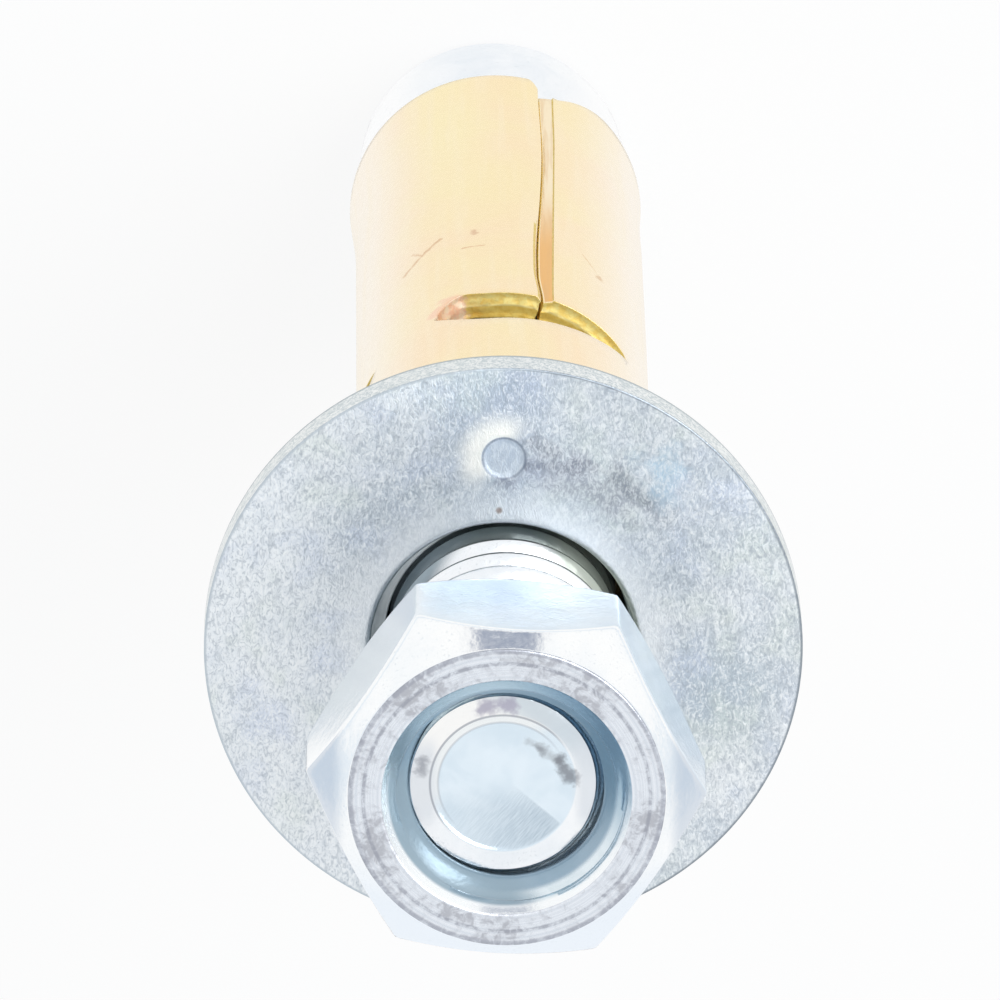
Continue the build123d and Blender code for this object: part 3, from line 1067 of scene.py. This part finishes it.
def build_nut():
    columns = 360
    angle = -90 - NUT_ROLL + np.arange(columns) * 360.0 / columns
    # Rows up the outside, closer together at both ends and at the middle.
    steps = np.linspace(0, 1, 96)
    steps = steps - 0.07 * np.sin(4 * math.pi * steps) / math.pi
    z = NUT_BOTTOM + RIM + (NUT_TOP - NUT_BOTTOM - 2 * RIM) * steps
    outer = polar(nut_outside(angle[None, :], z[:, None]), angle[None, :], z[:, None])
    edge = np.linalg.norm(outer[-1, :, :2], axis=1)
    faces, kinds, points = [], [], []

    def add_rings(rings, kind):
        start = sum(len(p) for p in points)
        points.append(rings.reshape(-1, 3))
        made = ring_faces(len(rings), columns, start)
        faces.extend(made)
        kinds.extend([kind] * len(made))

    add_rings(outer, PLAIN)
    for end, way in ((NUT_TOP, 1), (NUT_BOTTOM, -1)):
        run = [(edge, RIM), (edge - 0.02, 0.02), (edge - 0.07, 0.0)]
        run += [(edge + (NUT_MOUTH - edge) * t, 0.0) for t in np.linspace(0.1, 0.95, 9)]
        run += [(NUT_MOUTH, 0.008), (NUT_MOUTH - LIP, LIP)]
        rings = np.stack([polar(radius, angle, end - way * drop) for radius, drop in run])
        add_rings(rings[::way], WORN if way > 0 else PLAIN)
    # The thread's columns start at the same angle as the rings, so its phase is turned to match.
    shift = angle[0] / 360.0

    def radius_of(phase, z):
        return nut_thread_radius((phase - shift) % 1.0, z)

    thread, thread_faces = helix_sheet(NUT_BOTTOM + LIP, NUT_TOP - LIP, columns, 14, radius_of)
    turn = math.radians(angle[0])
    cosine, sine = math.cos(turn), math.sin(turn)
    thread = thread @ np.array([[cosine, sine, 0], [-sine, cosine, 0], [0, 0, 1]])
    start = sum(len(p) for p in points)
    points.append(thread)
    faces += [tuple(corner + start for corner in reversed(face)) for face in thread_faces]
    kinds += [THROAT_PAINTED] * len(thread_faces)
    points, faces, kinds = merged(np.concatenate(points), faces, kinds, 2e-4)
    piece = new_piece("nut", points, faces, [ZINC_NUT, ZINC_WORN, ZINC_THROAT_PAINTED], 50, kinds)
    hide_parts("hex_nut")
    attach(piece, "nut")


build_stud()
build_sleeve()
build_washer()
build_nut()


# Studio: a pale floor, a soft lamp, and a pale sky that metal reflects.
WHITE = (1, 1, 1, 1)
FLOOR_HALF = 3000.0


def build_floor():
    ends = ((-1, -1), (1, -1), (1, 1), (-1, 1))
    corners = [(x * FLOOR_HALF * MM, y * FLOOR_HALF * MM, 0) for x, y in ends]
    mesh = bpy.data.meshes.new("floor")
    mesh.from_pydata(corners, [], [(0, 1, 2, 3)])
    material = bpy.data.materials.new("floor_pale")
    material.use_nodes = True
    nodes = Nodes(material.node_tree)
    nodes.tree.nodes.clear()
    matte = nodes.even("ShaderNodeBsdfDiffuse", (0.86, 0.88, 0.9, 1))
    white = nodes.even("ShaderNodeEmission", WHITE)
    choices = (("Is Glossy Ray", white, 1.0), ("Is Camera Ray", white, 0.85))
    nodes.show(nodes.node("ShaderNodeOutputMaterial"), matte, choices)
    mesh.materials.append(material)
    floor = bpy.data.objects.new("floor", mesh)
    bpy.context.scene.collection.objects.link(floor)


def build_sky():
    """White to the camera. Metal sees a white tent with a grey foot and a dim panel in front."""
    world = bpy.data.worlds.new("studio")
    bpy.context.scene.world = world
    world.use_nodes = True
    nodes = Nodes(world.node_tree)
    nodes.tree.nodes.clear()
    axes = nodes.node("ShaderNodeSeparateXYZ")
    nodes.link(nodes.node("ShaderNodeTexCoord").outputs["Generated"], axes.inputs[0])
    x, y, z = axes.outputs
    across = nodes.between(x, -0.27, -0.22, 0.22, 0.27)
    panel = nodes.times(across, nodes.band(y, -0.6, -0.7), nodes.between(z, 0.24, 0.28, 0.4, 0.44))
    tent = nodes.blend(nodes.band(z, 0.09, 0.16), (0.8, 0.86, 0.92, 1), WHITE)
    tent = nodes.blend(panel, tent, (0.32, 0.36, 0.46, 1))
    shiny = nodes.even("ShaderNodeBackground", tent)
    white = nodes.even("ShaderNodeBackground", WHITE)
    plain = nodes.even("ShaderNodeBackground", WHITE, 0.7)
    rays = {"Is Glossy Ray": shiny, "Is Transmission Ray": white, "Is Camera Ray": white}
    choices = [(name, shader, 1.0) for name, shader in rays.items()]
    nodes.show(nodes.node("ShaderNodeOutputWorld"), plain, choices)


def build_lamp(name, place, target, size, power):
    """A soft round lamp. Its place and size are in metres and its power in watts."""
    lamp = bpy.data.lights.new(name, "AREA")
    lamp.shape = "DISK"
    lamp.size = size
    lamp.energy = power
    thing = bpy.data.objects.new(name, lamp)
    thing.location = place
    thing.rotation_euler = (Vector(target) - Vector(place)).to_track_quat("-Z", "Y").to_euler()
    bpy.context.scene.collection.objects.link(thing)


def build_camera():
    """Looks down on the nut's end, with the plug's foot towards the picture's top."""
    azimuth, elevation, roll = (math.radians(v) for v in (1.388, 69.5, 178.7))
    aim = Vector((0, 0, 0.0431))
    distance = 0.7325
    flat = math.cos(elevation)
    back = Vector((math.sin(azimuth) * flat, -math.cos(azimuth) * flat, math.sin(elevation)))
    data = bpy.data.cameras.new("camera")
    data.sensor_width = 36.0
    data.lens = 617.4
    data.clip_start = 0.01
    data.clip_end = 20.0
    camera = bpy.data.objects.new("camera", data)
    turn = back.to_track_quat("Z", "Y").to_matrix().to_4x4() @ Matrix.Rotation(roll, 4, "Z")
    camera.matrix_world = Matrix.Translation(aim + back * distance) @ turn
    bpy.context.scene.collection.objects.link(camera)
    bpy.context.scene.camera = camera


build_floor()
build_sky()
build_lamp("key", (-0.35, -0.25, 0.75), (0, 0, 0.04), 0.5, 3.0)
build_camera()
bpy.context.scene.view_settings.view_transform = "Standard"
